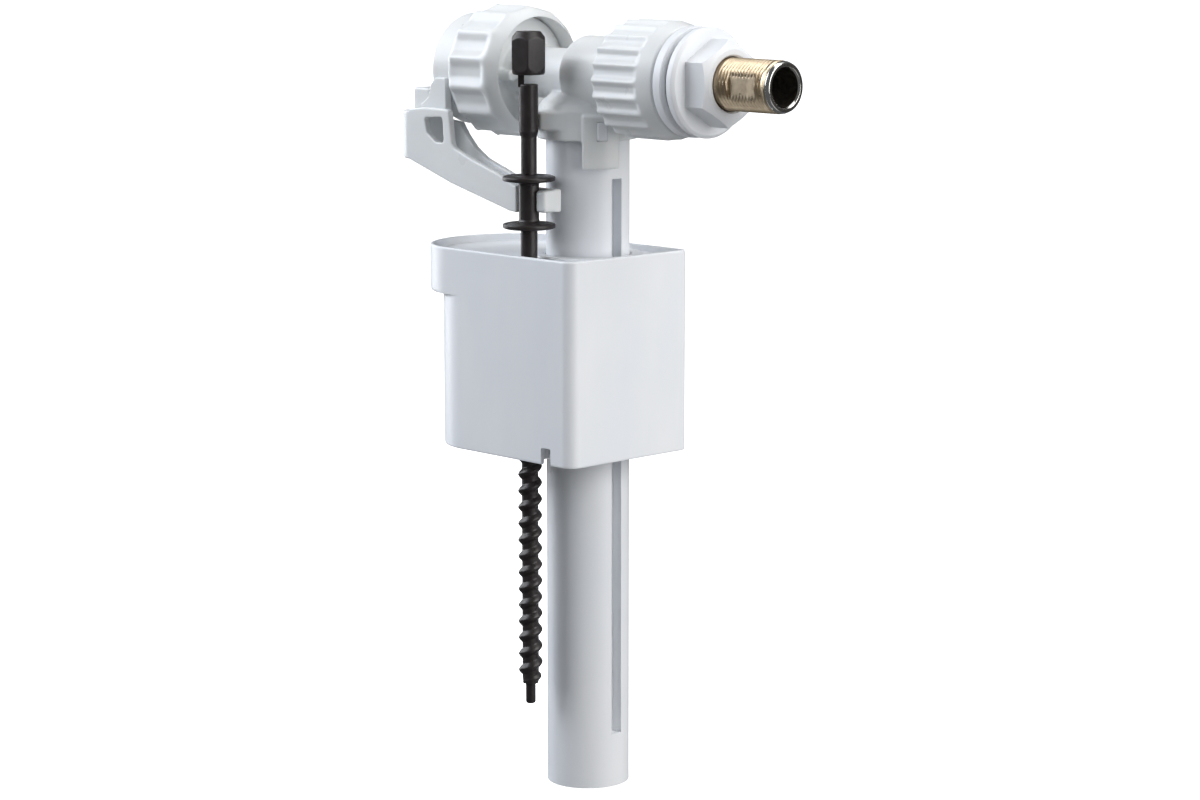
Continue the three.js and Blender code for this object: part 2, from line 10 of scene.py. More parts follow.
import bmesh
import bpy
import numpy as np
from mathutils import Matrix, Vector


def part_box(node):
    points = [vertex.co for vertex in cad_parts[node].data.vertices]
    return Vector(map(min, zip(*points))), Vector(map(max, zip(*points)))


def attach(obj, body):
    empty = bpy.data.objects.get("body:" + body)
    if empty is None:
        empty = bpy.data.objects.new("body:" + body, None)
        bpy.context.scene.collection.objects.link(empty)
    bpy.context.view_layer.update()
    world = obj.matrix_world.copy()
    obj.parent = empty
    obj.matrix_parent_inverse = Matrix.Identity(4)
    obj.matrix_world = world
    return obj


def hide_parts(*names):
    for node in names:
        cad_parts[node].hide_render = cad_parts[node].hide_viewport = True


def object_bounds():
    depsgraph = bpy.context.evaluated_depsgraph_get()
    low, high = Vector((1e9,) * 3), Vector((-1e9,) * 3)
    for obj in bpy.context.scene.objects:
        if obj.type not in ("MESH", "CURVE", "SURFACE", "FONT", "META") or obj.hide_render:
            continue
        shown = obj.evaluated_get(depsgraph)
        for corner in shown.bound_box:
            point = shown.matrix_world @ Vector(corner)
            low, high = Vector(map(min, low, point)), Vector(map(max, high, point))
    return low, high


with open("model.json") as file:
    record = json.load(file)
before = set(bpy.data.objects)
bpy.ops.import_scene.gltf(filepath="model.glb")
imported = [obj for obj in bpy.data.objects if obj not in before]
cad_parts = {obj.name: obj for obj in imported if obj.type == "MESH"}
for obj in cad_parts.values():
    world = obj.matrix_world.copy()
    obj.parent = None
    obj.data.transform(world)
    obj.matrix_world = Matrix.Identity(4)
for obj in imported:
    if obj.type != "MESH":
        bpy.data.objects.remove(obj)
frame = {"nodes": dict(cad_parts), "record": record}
CAD_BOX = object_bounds()
RECORD = frame["record"]
BODY = {node: body for body, nodes in RECORD["behaviour"]["bodies"].items() for node in nodes}
SLOT = {part["node"]: part["material_slot"] for part in RECORD["subparts"]}

MM = 0.001
TAU = 2 * math.pi
GAP = 0.3  # clearance between touching pieces
ARC_STEPS = 5  # in the rounded corner of an outline
EDGE_STEPS = 3  # in the rounded edge of a solid
NOISE_RANGE = 0.3, 0.7  # where the values of a noise texture mostly lie


def middle(node):
    low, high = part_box(node)
    return (low + high) / 2


AXIS = Vector((middle("flow_breaker").x, middle("flow_breaker").y, 0))


def span(node):
    """Lowest and highest corner of a CAD node, in millimetres from the standpipe's axis."""
    low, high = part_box(node)
    return (low - AXIS) / MM, (high - AXIS) / MM


def centre(node):
    """The middle of a CAD node, in millimetres from the standpipe's axis."""
    low, high = span(node)
    return [(a + b) / 2 for a, b in zip(low, high)]


# ---------------------------------------------------------------- outlines


def soft(points):
    """A closed outline from corners (a, b) or (a, b, radius), with each radius made an arc."""
    out = []
    for i, corner in enumerate(points):
        here = Vector(corner[:2])
        if len(corner) < 3:
            out.append(tuple(here))
            continue
        back = Vector(points[i - 1][:2]) - here
        on = Vector(points[(i + 1) % len(points)][:2]) - here
        half = back.angle(on) / 2
        reach = min(corner[2] / math.tan(half), 0.49 * back.length, 0.49 * on.length)
        radius = reach * math.tan(half)
        hub = here + (back.normalized() + on.normalized()).normalized() * radius / math.sin(half)
        start = here + back.normalized() * reach - hub
        turn = start.angle_signed(here + on.normalized() * reach - hub)
        first = math.atan2(start.y, start.x)
        for k in range(ARC_STEPS + 1):
            angle = first - turn * k / ARC_STEPS
            out.append((hub.x + radius * math.cos(angle), hub.y + radius * math.sin(angle)))
    return out


def angles(steps):
    return np.arange(steps) * TAU / steps


def polygon(sides, radius, turned_deg):
    turns = [math.radians(360 * i / sides + turned_deg) for i in range(sides)]
    return [(radius * math.cos(t), radius * math.sin(t)) for t in turns]


def ease(value, start, end):
    """Smooth step from 0 at start to 1 at end."""
    t = np.clip((value - start) / (end - start), 0, 1)
    return t * t * (3 - 2 * t)


# ---------------------------------------------------------------- meshes


def make(name, points, faces, sharp_deg=38):
    mesh = bpy.data.meshes.new(name)
    mesh.from_pydata((np.asarray(points, float) * MM + np.array(AXIS)).tolist(), [], faces)
    clean(mesh, sharp_deg)
    obj = bpy.data.objects.new(name, mesh)
    bpy.context.scene.collection.objects.link(obj)
    return obj


def clean(mesh, sharp_deg):
    bm = bmesh.new()
    bm.from_mesh(mesh)
    bmesh.ops.remove_doubles(bm, verts=bm.verts, dist=0.002 * MM)
    bmesh.ops.dissolve_degenerate(bm, edges=bm.edges, dist=0.001 * MM)
    bmesh.ops.recalc_face_normals(bm, faces=bm.faces)
    bm.to_mesh(mesh)
    bm.free()
    mesh.shade_smooth()
    mesh.set_sharp_from_angle(angle=math.radians(sharp_deg))


def along(axis, a, b, p):
    """Points whose position along the axis is p and across it a and b."""
    a, b, p = np.broadcast_arrays(a, b, p)
    return np.stack({"x": (p, a, b), "y": (a, p, b), "z": (a, b, p)}[axis], axis=1)


def loft(name, rings, closed=True, sharp_deg=38):
    """A skin through rings with equal numbers of points, joined end to end or with flat ends."""
    count = len(rings[0])
    faces = []
    for k in range(len(rings) if closed else len(rings) - 1):
        a, b = k * count, (k + 1) % len(rings) * count
        faces += [(a + i, a + (i + 1) % count, b + (i + 1) % count, b + i) for i in range(count)]
    if not closed:
        last = (len(rings) - 1) * count
        faces += [tuple(range(count)), tuple(range(last, last + count))]
    return make(name, np.concatenate(rings), faces, sharp_deg)


def turned(name, axis, outline, at=(0, 0, 0), steps=96):
    """A turned solid from a closed outline of (radius, position along the axis)."""
    t = angles(steps)
    rings = [along(axis, r * np.cos(t), r * np.sin(t), p) + np.array(at) for r, p in outline]
    return loft(name, rings)


def rod(name, axis, radius, low, high, at=(0, 0, 0), steps=64):
    return turned(name, axis, [(0, low), (radius, low), (radius, high), (0, high)], at, steps)


def prism(name, axis, outline, low, high, edge=0.0):
    """A plate of a closed outline, with its edges rounded."""
    a, b = np.array(outline, float).T
    obj = loft(name, [along(axis, a, b, p) for p in (low, high)], closed=False)
    return rounded(obj, edge) if edge else obj


def block(name, low, high, edge=0.0):
    outline = [(low[0], low[1]), (high[0], low[1]), (high[0], high[1]), (low[0], high[1])]
    return prism(name, "z", outline, low[2], high[2], edge)


def settle(obj, sharp_deg=38):
    """Applies the object's modifiers to its mesh."""
    graph = bpy.context.evaluated_depsgraph_get()
    fresh = bpy.data.meshes.new_from_object(obj.evaluated_get(graph))
    worn = obj.data
    obj.modifiers.clear()
    obj.data = fresh
    bpy.data.meshes.remove(worn)
    clean(fresh, sharp_deg)
    return obj


def rounded(obj, width, over_deg=40):
    bevel = obj.modifiers.new("edge", "BEVEL")
    bevel.width = width * MM
    bevel.segments = EDGE_STEPS
    bevel.limit_method = "ANGLE"
    bevel.angle_limit = math.radians(over_deg)
    return settle(obj)


def combine(obj, operation, *others):
    for other in others:
        boolean = obj.modifiers.new("join", "BOOLEAN")
        boolean.operation = operation
        boolean.solver = "EXACT"
        boolean.object = other
        settle(obj)
        bpy.data.objects.remove(other)
    return obj


def fuse(obj, *others):
    return combine(obj, "UNION", *others)


def carve(obj, *others):
    return combine(obj, "DIFFERENCE", *others)


def shift(obj, at):
    for vertex in obj.data.vertices:
        vertex.co += Vector(at) * MM


def spin(obj, turned_deg):
    """Turns a mesh about the standpipe's axis."""
    turn = math.radians(turned_deg)
    cos, sin = math.cos(turn), math.sin(turn)
    for vertex in obj.data.vertices:
        x, y = vertex.co.x - AXIS.x, vertex.co.y - AXIS.y
        vertex.co.x, vertex.co.y = AXIS.x + x * cos - y * sin, AXIS.y + x * sin + y * cos


def slant(obj, from_x, slope):
    """Slides a mesh along Y in step with X, from a line where it stays."""
    for vertex in obj.data.vertices:
        vertex.co.y += slope * (vertex.co.x - AXIS.x - from_x * MM)


def mould(obj, voxel, rounds):
    """Melts a joined shape into one skin with small fillets in its corners, as a moulding has."""
    skin = obj.modifiers.new("skin", "REMESH")
    skin.mode = "VOXEL"
    skin.voxel_size = voxel * MM
    fillet = obj.modifiers.new("fillet", "SMOOTH")
    fillet.factor = 0.5
    fillet.iterations = rounds
    return settle(obj, sharp_deg=180)


def even_shading(obj):
    """Keeps large flat faces flat beside their small rounded edges."""
    weigh = obj.modifiers.new("shading", "WEIGHTED_NORMAL")
    weigh.keep_sharp = True
    weigh.weight = 60


# ---------------------------------------------------------------- materials


class Surface:
    """A node-based material with a Principled shader and helpers to reach its sockets."""

    def __init__(self, name, colour, roughness, **sockets):
        self.material = bpy.data.materials.new(name)
        self.material.use_nodes = True
        self.tree = self.material.node_tree
        self.shader = self.tree.nodes["Principled BSDF"]
        self.place = self.tree.nodes.new("ShaderNodeTexCoord")
        self.shader.inputs["Base Color"].default_value = (*colour, 1)
        self.shader.inputs["Roughness"].default_value = roughness
        for socket, value in sockets.items():
            self.shader.inputs[socket.replace("_", " ")].default_value = value
        self.height = None

    def node(self, kind, **settings):
        made = self.tree.nodes.new(kind)
        for key, value in settings.items():
            setattr(made, key, value)
        return made

    def noise(self, size_mm, detail=3, stretch=(1, 1, 1)):
        """Noise whose features are about size_mm across."""
        mapping = self.node("ShaderNodeMapping")
        mapping.inputs["Scale"].default_value = stretch
        noise = self.node("ShaderNodeTexNoise")
        noise.inputs["Scale"].default_value = 1 / (size_mm * MM)
        noise.inputs["Detail"].default_value = detail
        self.tree.links.new(self.place.outputs["Object"], mapping.inputs["Vector"])
        self.tree.links.new(mapping.outputs["Vector"], noise.inputs["Vector"])
        return noise.outputs["Fac"]

    def spread(self, value, low, high):
        """Stretches a noise value to low..high."""
        remap = self.node("ShaderNodeMapRange")
        self.tree.links.new(value, remap.inputs["Value"])
        sockets = "From Min", "From Max", "To Min", "To Max"
        for socket, number in zip(sockets, (*NOISE_RANGE, low, high)):
            remap.inputs[socket].default_value = number
        return remap.outputs["Result"]

    def tint(self, factor, first, second):
        """Colours the surface from first to second by a factor from 0 to 1."""
        mix = self.node("ShaderNodeMix", data_type="RGBA")
        mix.inputs["A"].default_value = (*first, 1)
        mix.inputs["B"].default_value = (*second, 1)
        self.tree.links.new(factor, mix.inputs["Factor"])
        self.tree.links.new(mix.outputs["Result"], self.shader.inputs["Base Color"])

    def gloss(self, factor):
        self.tree.links.new(factor, self.shader.inputs["Roughness"])

    def bump(self, value, depth_mm, strength=1.0):
        """Adds relief; one bump stands on another."""
        bump = self.node("ShaderNodeBump")
        bump.inputs["Distance"].default_value = depth_mm * MM
        bump.inputs["Strength"].default_value = strength
        self.tree.links.new(value, bump.inputs["Height"])
        if self.height:
            self.tree.links.new(self.height, bump.inputs["Normal"])
        self.height = bump.outputs["Normal"]
        self.tree.links.new(self.height, self.shader.inputs["Normal"])


def white_plastic():
    """Satin white polypropylene: a fine moulded grain, faint flow marks and a little handling."""
    look = Surface("white_plastic", (0.80, 0.82, 0.85), 0.36, Subsurface_Weight=0.08,
                   Subsurface_Radius=(0.003, 0.003, 0.003), Subsurface_Scale=0.5, IOR=1.49)
    flow = look.spread(look.noise(26, 4, (1, 1, 0.35)), 0, 1)
    look.tint(flow, (0.775, 0.80, 0.84), (0.83, 0.845, 0.865))
    look.gloss(look.spread(look.noise(9, 5), 0.31, 0.43))
    look.bump(look.noise(0.35, 2), 0.012, 0.5)
    look.bump(look.noise(14, 2, (1, 1, 0.3)), 0.06, 0.35)
    return look.material


def milky_plastic():
    """Slightly see-through natural acetal: light sinks in, thin edges glow, the surface is slick."""
    look = Surface("milky_plastic", (0.76, 0.78, 0.78), 0.28, Subsurface_Weight=0.35,
                   Subsurface_Radius=(0.0045, 0.004, 0.0035), Subsurface_Scale=0.6, IOR=1.48)
    look.tint(look.spread(look.noise(18, 4), 0, 1), (0.745, 0.765, 0.775), (0.785, 0.80, 0.80))
    look.gloss(look.spread(look.noise(7, 3), 0.27, 0.36))
    look.bump(look.noise(0.3, 2), 0.01, 0.5)
    look.bump(look.noise(8, 2), 0.04, 0.25)
    return look.material


def dark_plastic():
    """Black-brown glass-filled plastic with a soft sheen and faint paler streaks."""
    look = Surface("dark_plastic", (0.03, 0.024, 0.022), 0.36, IOR=1.5)
    streaks = look.spread(look.noise(3, 5, (1, 1, 0.25)), 0, 1)
    look.tint(streaks, (0.012, 0.009, 0.009), (0.026, 0.02, 0.02))
    look.gloss(look.spread(look.noise(1.2, 4), 0.28, 0.48))
    look.bump(look.noise(0.25, 3), 0.015, 0.6)
    return look.material


def pale_rubber():
    look = Surface("pale_rubber", (0.72, 0.71, 0.69), 0.6, IOR=1.5)
    look.tint(look.spread(look.noise(4, 4), 0, 1), (0.66, 0.65, 0.63), (0.76, 0.75, 0.73))
    look.bump(look.noise(0.4, 3), 0.03, 0.5)
    return look.material


def rubber():
    look = Surface("rubber", (0.03, 0.03, 0.032), 0.7, IOR=1.5)
    look.tint(look.spread(look.noise(4, 4), 0, 1), (0.022, 0.022, 0.024), (0.05, 0.05, 0.052))
    look.gloss(look.spread(look.noise(2, 4), 0.6, 0.85))
    look.bump(look.noise(0.4, 3), 0.03, 0.6)
    return look.material


def brass():
    """Pale drawn brass: fine turning lines round the axis, and a little tarnish."""
    look = Surface("brass", (0.78, 0.66, 0.45), 0.3, Metallic=1.0)
    look.tint(look.spread(look.noise(3, 3), 0, 1), (0.60, 0.48, 0.34), (0.74, 0.62, 0.45))
    look.gloss(look.spread(look.noise(2, 3), 0.26, 0.4))
    look.bump(look.noise(0.12, 2, (1, 0.05, 0.05)), 0.004, 0.4)
    return look.material


def nickel():
    """The bright plated end of the nipple."""
    look = Surface("nickel", (0.72, 0.71, 0.68), 0.12, Metallic=1.0)
    look.gloss(look.spread(look.noise(1.5, 4), 0.08, 0.2))
    look.bump(look.noise(0.15, 2, (1, 0.1, 0.1)), 0.004, 0.4)
    return look.material


def painted_dark_end_face():
    """The nipple's end face, painted near black as a painted dark reflection on its plating."""
    look = Surface("painted_dark_end_face", (0.05, 0.047, 0.043), 0.32, Metallic=0.7)
    look.gloss(look.spread(look.noise(1, 3), 0.26, 0.4))
    look.bump(look.noise(0.2, 3), 0.005, 0.4)
    return look.material


def painted_shade_bore_wall():
    """The unpolished wall inside the nipple, painted near black as painted shade in the bore."""
    look = Surface("painted_shade_bore_wall", (0.05, 0.042, 0.03), 0.6, Metallic=0.6)
    look.tint(look.spread(look.noise(1.5, 5), 0, 1), (0.018, 0.015, 0.012), (0.06, 0.048, 0.034))
    look.bump(look.noise(0.4, 3), 0.03, 0.5)
    return look.material


def steel():
    look = Surface("steel", (0.6, 0.61, 0.62), 0.25, Metallic=1.0)
    look.gloss(look.spread(look.noise(0.6, 4, (0.1, 1, 1)), 0.18, 0.36))
    look.bump(look.noise(0.1, 2, (0.05, 1, 1)), 0.004, 0.5)
    return look.material


MATERIALS = {
    "white_plastic": white_plastic(), "milky_plastic": milky_plastic(),
    "dark_plastic": dark_plastic(), "rubber": rubber(), "pale_rubber": pale_rubber(),
    "brass": brass(), "steel": steel(),
}


def stand_for(obj, node):
    """obj is the look of a CAD node: it rides on the same body and takes the same finish."""
    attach(obj, BODY[node])
    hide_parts(node)
    if not obj.data.materials:
        obj.data.materials.append(MATERIALS[SLOT[node]])
    even_shading(obj)
    return obj


# ---------------------------------------------------------------- standpipe

PIPE_LOW, PIPE_HIGH = span("standpipe")
PIPE_R = -PIPE_LOW.x
PIPE_BORE = span("flow_breaker")[1].y + GAP
GROOVE = {"half": 2.2, "depth": 4.2, "rib": 1.6, "above_foot": 18, "below_top": 21}
LUG = {"turned_deg": -28.5, "half": 1.7, "r": 18.2, "below_top": 8.2, "height": 5.9}
LUG_LOW = PIPE_HIGH.z - LUG["below_top"]


def standpipe():
    pipe = turned("standpipe_skin", "z", [
        (PIPE_BORE, PIPE_LOW.z), (PIPE_R, PIPE_LOW.z), (PIPE_R, PIPE_HIGH.z), (PIPE_BORE, PIPE_HIGH.z)],
        steps=160)
    low, high = PIPE_LOW.z + GROOVE["above_foot"], PIPE_HIGH.z - GROOVE["below_top"]
    floor, half, wall = PIPE_R - GROOVE["depth"], GROOVE["half"], GROOVE["rib"]
    fuse(pipe, block("rib", (floor - wall, -half - wall, low - wall),
                     (PIPE_BORE + 0.5, half + wall, high + wall)))
    carve(pipe, block("groove", (floor, -half, low), (PIPE_R + 2, half, high)))
    rounded(pipe, 0.35)
    lug = block("lug", (PIPE_R - 1.5, -LUG["half"], LUG_LOW),
                (LUG["r"], LUG["half"], LUG_LOW + LUG["height"]), 0.5)
    spin(lug, LUG["turned_deg"])
    fuse(pipe, lug)
    return stand_for(pipe, "standpipe")


# ---------------------------------------------------------------- valve head

HEAD_LOW, HEAD_HIGH = span("valve_head")
BOWL = {"r": 18.2, "length": 6.9, "chamber_r": 15.5, "chamber": 1.6, "seat_r": 6.2, "seat": 3.9}
NECK_R = 8.4
BARREL = {"r": 13, "x0": -1.4, "edge": 1.5}
SPIGOT = {"r": 14.8, "bore": 7, "length": 14}
SOCKET = {"r": 16.6, "foot": -20.5, "roof": -9.7, "top": -5.5}
TONGUE = {"r0": 15.9, "r1": 17.7, "from_deg": -50, "to_deg": -7, "top": -12}
OUTLET_R = 4.2
SPINDLE_AT = centre("lever_collar")[:2]
SPINDLE_R = 3.1


def sector(r_in, r_out, from_deg, to_deg, steps=14):
    sweep = np.radians(np.linspace(from_deg, to_deg, steps))
    outer = [(r_out * math.cos(t), r_out * math.sin(t)) for t in sweep]
    inner = [(r_in * math.cos(t), r_in * math.sin(t)) for t in sweep[::-1]]
    return outer + inner


def valve_head():
    seat_x, barrel_x = HEAD_LOW.x, HEAD_HIGH.x - SPIGOT["length"]
    bowl_end = seat_x + BOWL["length"]
    barrel, edge = BARREL["r"], BARREL["edge"]
    head = turned("valve_head_skin", "x", [
        (0, seat_x), (BOWL["r"], seat_x), (BOWL["r"], bowl_end), (NECK_R + 1.8, bowl_end),
        (NECK_R, bowl_end + 1.8), (NECK_R, BARREL["x0"]), (barrel - edge, BARREL["x0"]),
        (barrel, BARREL["x0"] + edge), (barrel, barrel_x), (0, barrel_x)])
    socket = turned("socket", "z", [
        (0, SOCKET["foot"]), (SOCKET["r"], SOCKET["foot"]), (SOCKET["r"], -11.2),
        (SOCKET["r"] - 1.2, -8.5), (SOCKET["r"] - 5, SOCKET["top"]), (0, SOCKET["top"])])
    sweep = TONGUE["from_deg"], TONGUE["to_deg"]
    tongue = prism("tongue", "z", sector(TONGUE["r0"], TONGUE["r1"], *sweep), HEAD_LOW.z, TONGUE["top"])
    skirt = prism("skirt", "z", sector(PIPE_R + GAP + 0.1, TONGUE["r0"] + 0.6, *sweep),
                  HEAD_LOW.z + 6, SOCKET["foot"] + 1)
    nub = rod("nub", "x", 1.9, bowl_end - 1, bowl_end + 6, (0, -10.6, -0.8), 32)
    saddle_y = SPINDLE_AT[1] + 2.4
    saddle = prism("saddle", "z", [
        (-8.4, saddle_y), (-2.4, saddle_y), (9, -13.6), (0.4, -12), (-8.4, -12)], -17, -11)
    fuse(head, socket, tongue, skirt, nub, saddle)
    carve(head, rod("bore", "z", PIPE_R + GAP, SOCKET["foot"] - 12, SOCKET["roof"]),
          rod("spindle_way", "z", SPINDLE_R + 0.5, -20, -8, (*SPINDLE_AT, 0)))
    mould(head, 0.42, 7)
    fit = 0.08  # the lug fills its window almost completely
    window = block("window", (10, -LUG["half"] - fit, LUG_LOW - fit),
                   (22, LUG["half"] + fit, LUG_LOW + LUG["height"] + fit))
    spin(window, LUG["turned_deg"])
    chamber = rod("chamber", "x", BOWL["chamber_r"], seat_x - 1, seat_x + BOWL["chamber"])
    seat_way = rod("seat_way", "x", BOWL["seat_r"], seat_x - 1, seat_x + BOWL["seat"])
    outlet = rod("outlet", "x", OUTLET_R, seat_x, 6)
    carve(head, window, chamber, seat_way, outlet)
    r, bore, end = SPIGOT["r"], SPIGOT["bore"], HEAD_HIGH.x
    spigot = turned("spigot", "x", soft([
        (bore, barrel_x - 0.5), (barrel - 0.4, barrel_x - 0.5), (r, barrel_x + 0.1, 0.3), (r, end, 0.5),
        (bore, end, 0.4)]))
    fuse(head, spigot)
    return stand_for(head, "valve_head")


# ---------------------------------------------------------------- fluted grips


CAP = {"rim": 4.4, "flute": 1.9, "ribs": 14, "bore": 18.5, "lip": 17.1}
NUT = {"rim": 5.8, "flute": 1.15, "ribs": 22, "nose": 17.3, "bore": 15.1, "neck": 10.4}


def fluted(name, outside, inside, flute, ribs, phase=0, steps_per_rib=20):
    """A ring along X, from [(radius, x, depth of the flutes there)] outside and [(radius, x)] inside."""
    t = angles(ribs * steps_per_rib)
    wave = 1 - np.cos(t * ribs / 2 + phase) ** 4
    rings = []
    for r, x, share in outside:
        radius = r - flute * share * wave
        rings.append(along("x", radius * np.cos(t), radius * np.sin(t), x))
    for r, x in inside:
        rings.append(along("x", r * np.cos(t), r * np.sin(t), x))
    return loft(name, rings, sharp_deg=50)


def diaphragm_cap():
    low, high = span("diaphragm_cap")
    x0, x1, r = low.x, high.x, high.z
    rim = x1 - CAP["rim"]
    outside = [
        (17.6, x0, 0), (18.9, x0, 0), (19.7, x0 + 0.2, 0), (20.4, x0 + 0.7, 0.1), (21.2, x0 + 1.4, 0.4),
        (21.8, x0 + 2.2, 0.75), (22.1, x0 + 3, 0.95), (r, x0 + 4, 1), (r, x0 + 10, 1), (r, rim - 3, 1),
        (r, rim - 2.2, 0.93), (r - 0.05, rim - 1.5, 0.75), (r - 0.1, rim - 0.9, 0.45),
        (r - 0.2, rim - 0.3, 0.3), (r - 0.35, rim + 0.4, 0.2), (r - 0.8, rim + 1.2, 0.12),
        (r - 1.5, rim + 2, 0.05), (r - 2.3, rim + 2.9, 0), (r - 3, rim + 3.8, 0),
        (r - 3.3, x1 - 0.15, 0), (r - 3.45, x1, 0)]
    bore, lip = CAP["bore"], CAP["lip"]
    inside = [(r - 3.55, x1), (bore, x1 - 0.3), (bore, x0 + 2.5), (lip, x0 + 2.5), (lip, x0 + 0.3),
              (lip + 0.2, x0)]
    cap = fluted("diaphragm_cap_skin", outside, inside, CAP["flute"], CAP["ribs"], phase=math.pi / 2)
    return stand_for(cap, "diaphragm_cap")


def union_nut():
    low, high = span("union_nut")
    x0, x1, r = low.x, high.x, high.z
    rib_end, nose = x1 - NUT["rim"], NUT["nose"]
    outside = [
        (15.6, x0, 0), (17.2, x0, 0.3), (18.6, x0 + 0.25, 0.8), (19.1, x0 + 0.8, 1), (r, x0 + 1.6, 1),
        (r, x0 + 10, 1), (r, rib_end - 2.4, 1), (r, rib_end - 1.5, 0.9), (r - 0.05, rib_end - 0.8, 0.6),
        (r - 0.15, rib_end - 0.2, 0.25), (r - 0.35, rib_end + 0.3, 0.05), (r - 0.5, rib_end + 0.8, 0),
        (nose + 0.35, x1 - 0.9, 0), (nose + 0.1, x1 - 0.4, 0), (nose - 0.4, x1 - 0.1, 0),
        (nose - 1, x1, 0)]
    bore, neck, shoulder_x = NUT["bore"], NUT["neck"], 41
    inside = [(neck + 0.4, x1), (neck, x1 - 0.4), (neck, shoulder_x), (bore, shoulder_x),
              (bore, x0 + 0.5), (bore + 0.3, x0 + 0.1)]
    nut = fluted("union_nut_skin", outside, inside, NUT["flute"], NUT["ribs"], steps_per_rib=16)
    return stand_for(nut, "union_nut")


# ---------------------------------------------------------------- pilot side

PIVOT_X, PIVOT_Z = centre("lever_pin")[::2]
PIN_R = 1.45
DRUM = {"x": -57, "r": 18.7, "spigot": 16.7, "cavity": 14.5, "wall": 2.4}


def pin_way(low, high):
    return rod("pin_way", "y", PIN_R + GAP, low, high, (PIVOT_X, 0, PIVOT_Z), 32)


def pilot_housing():
    flange_x = span("pilot_housing")[1].x
    cap_x = span("diaphragm_cap")[0].x
    x, r, spigot, cavity = DRUM["x"], DRUM["r"], DRUM["spigot"], DRUM["cavity"]
    shell = turned("pilot_housing_skin", "x", soft([
        (0, x), (14.2, x), (14.6, x + 0.5), (17, x + 0.5), (r, x + 0.9, 1.4), (r, cap_x - GAP, 0.3),
        (spigot, cap_x - GAP), (spigot, cap_x + 2.8), (18.2, cap_x + 2.8), (18.2, flange_x),
        (cavity, flange_x), (cavity, x + DRUM["wall"]), (0, x + DRUM["wall"])]))
    cheek = prism("cheek", "y", soft([
        (-60.5, -14), (-60.5, -11.5, 1), (-57, -9, 2), (-55.6, -4.5, 2), (-53, -2.2, 1.5), (-47.9, -2.2),
        (-47.9, -14)]), -19.8, -17, 0.5)
    body = block("block", (PIVOT_X - 4, -19.6, -29), (x + 0.6, -12.2, -6), 0.8)
    fuse(shell, cheek, body)
    carve(shell, pin_way(-25, -5),
          rod("nozzle_way", "x", 1.6, PIVOT_X - 6, PIVOT_X + 1, (0, -16, -26.5), 24))
    return stand_for(shell, "pilot_housing")


def lever_pin():
    low, high = span("lever_pin")
    head_r = (high.x - low.x) / 2
    neck = high.y - 1.4
    pin = turned("lever_pin_skin", "y", soft([
        (0, low.y), (PIN_R, low.y, 0.4), (PIN_R, neck), (head_r, neck, 0.3), (head_r, high.y, 0.8),
        (0, high.y)]), (PIVOT_X, 0, PIVOT_Z), 48)
    return stand_for(pin, "lever_pin")


# ---------------------------------------------------------------- lever

LEVER = {"y0": -22.6, "y1": -9.4, "wall": 2.3, "end_x": -64, "tip_x": -10.2, "foot": -30, "top": -13.2}


def lever():
    """Two arms joined by a round end at the left and by a fork at the spindle."""
    fork_x = span("lever")[1].x
    y0, y1, wall = LEVER["y0"], LEVER["y1"], LEVER["wall"]
    end_x, tip_x, foot, top = LEVER["end_x"], LEVER["tip_x"], LEVER["foot"], LEVER["top"]
    arm = prism("lever_skin", "y", soft([
        (end_x, foot), (-42.3, -36.9, 30), (-13.5, -44, 10), (tip_x, -44.2), (tip_x, -35.6, 0.8),
        (-13, -34.9, 3), (-18.8, -32.2, 10), (-30.8, -28.6, 12), (-41.8, -24.7, 3), (-43.5, -12.4, 1.2),
        (-56, -12.2, 2), (end_x, top)]), y0, y0 + wall, 0.35)
    window = prism("window", "y", soft([
        (-55.8, -15.6, 1), (-46.6, -15, 1), (-46, -23.6, 1), (-50, -23.6, 2), (-54.6, -20.6, 2)]),
        y0 - 1, y0 + wall + 1)
    stub = prism("stub", "y", [(end_x, foot), (-50, -33.5), (-50, -17.4), (-58, -16.6), (end_x, -14.8)],
                 y1 - wall, y1)
    rear = prism("rear", "y", soft([
        (-50.2, -33.5), (-13, -43), (-13, -35.2, 1), (-20, -32, 10), (-34, -28.6, 12), (-41, -25.4, 6),
        (-46, -21.6, 6), (-50.2, -17.4)]), y1 - wall, y1)
    slant(rear, -50, -0.17)
    mid, radius = (y0 + y1) / 2, (y1 - y0) / 2
    bend = np.radians(np.linspace(90, 270, 25))
    outer, inner = ([(end_x + r * math.cos(t), mid + r * math.sin(t)) for t in turn]
                    for r, turn in ((radius, bend), (radius - wall, bend[::-1])))
    stop = end_x + 1
    loop = outer + [(stop, y0), (stop, y0 + wall)] + inner + [(stop, y1 - wall), (stop, y1)]
    end = prism("end", "z", loop, foot, top - 0.6, 0.4)
    nose, below = end_x - radius, foot - 0.1
    heel = prism("heel", "y", soft([
        (nose - 1, -24.5), (nose + 0.1, -24.5), (nose + 0.5, -27.4, 2), (nose + 1.6, -29.1, 1),
        (nose + 4.4, below), (nose - 1, below)]), y0 - 1, y1 + 1)
    back = block("back", (-15.5, -19.1, -43.4), (fork_x, -15.6, -36), 0.5)
    prong = block("prong", (-0.2, -23.4, -43.4), (fork_x, -16, -36.2), 1)
    fuse(arm, end, stub, rear, back, prong)
    carve(arm, window, heel, pin_way(y0 + 0.9, y1 + 2),
          block("pad_seat", (end_x - 4.6, mid - 2.5, -29), (end_x - 1, mid + 2.5, -24)))
    mould(arm, 0.3, 5)
    return stand_for(arm, "lever")


# ---------------------------------------------------------------- spindle

THREAD = {"pitch": 5.5, "core": 2.75, "wire": 1.25, "flank": 1.7, "top": -117, "turns": 15}
HEX = {"flats": 10.7, "foot": 1, "turned_deg": 16, "web_deg": 226}


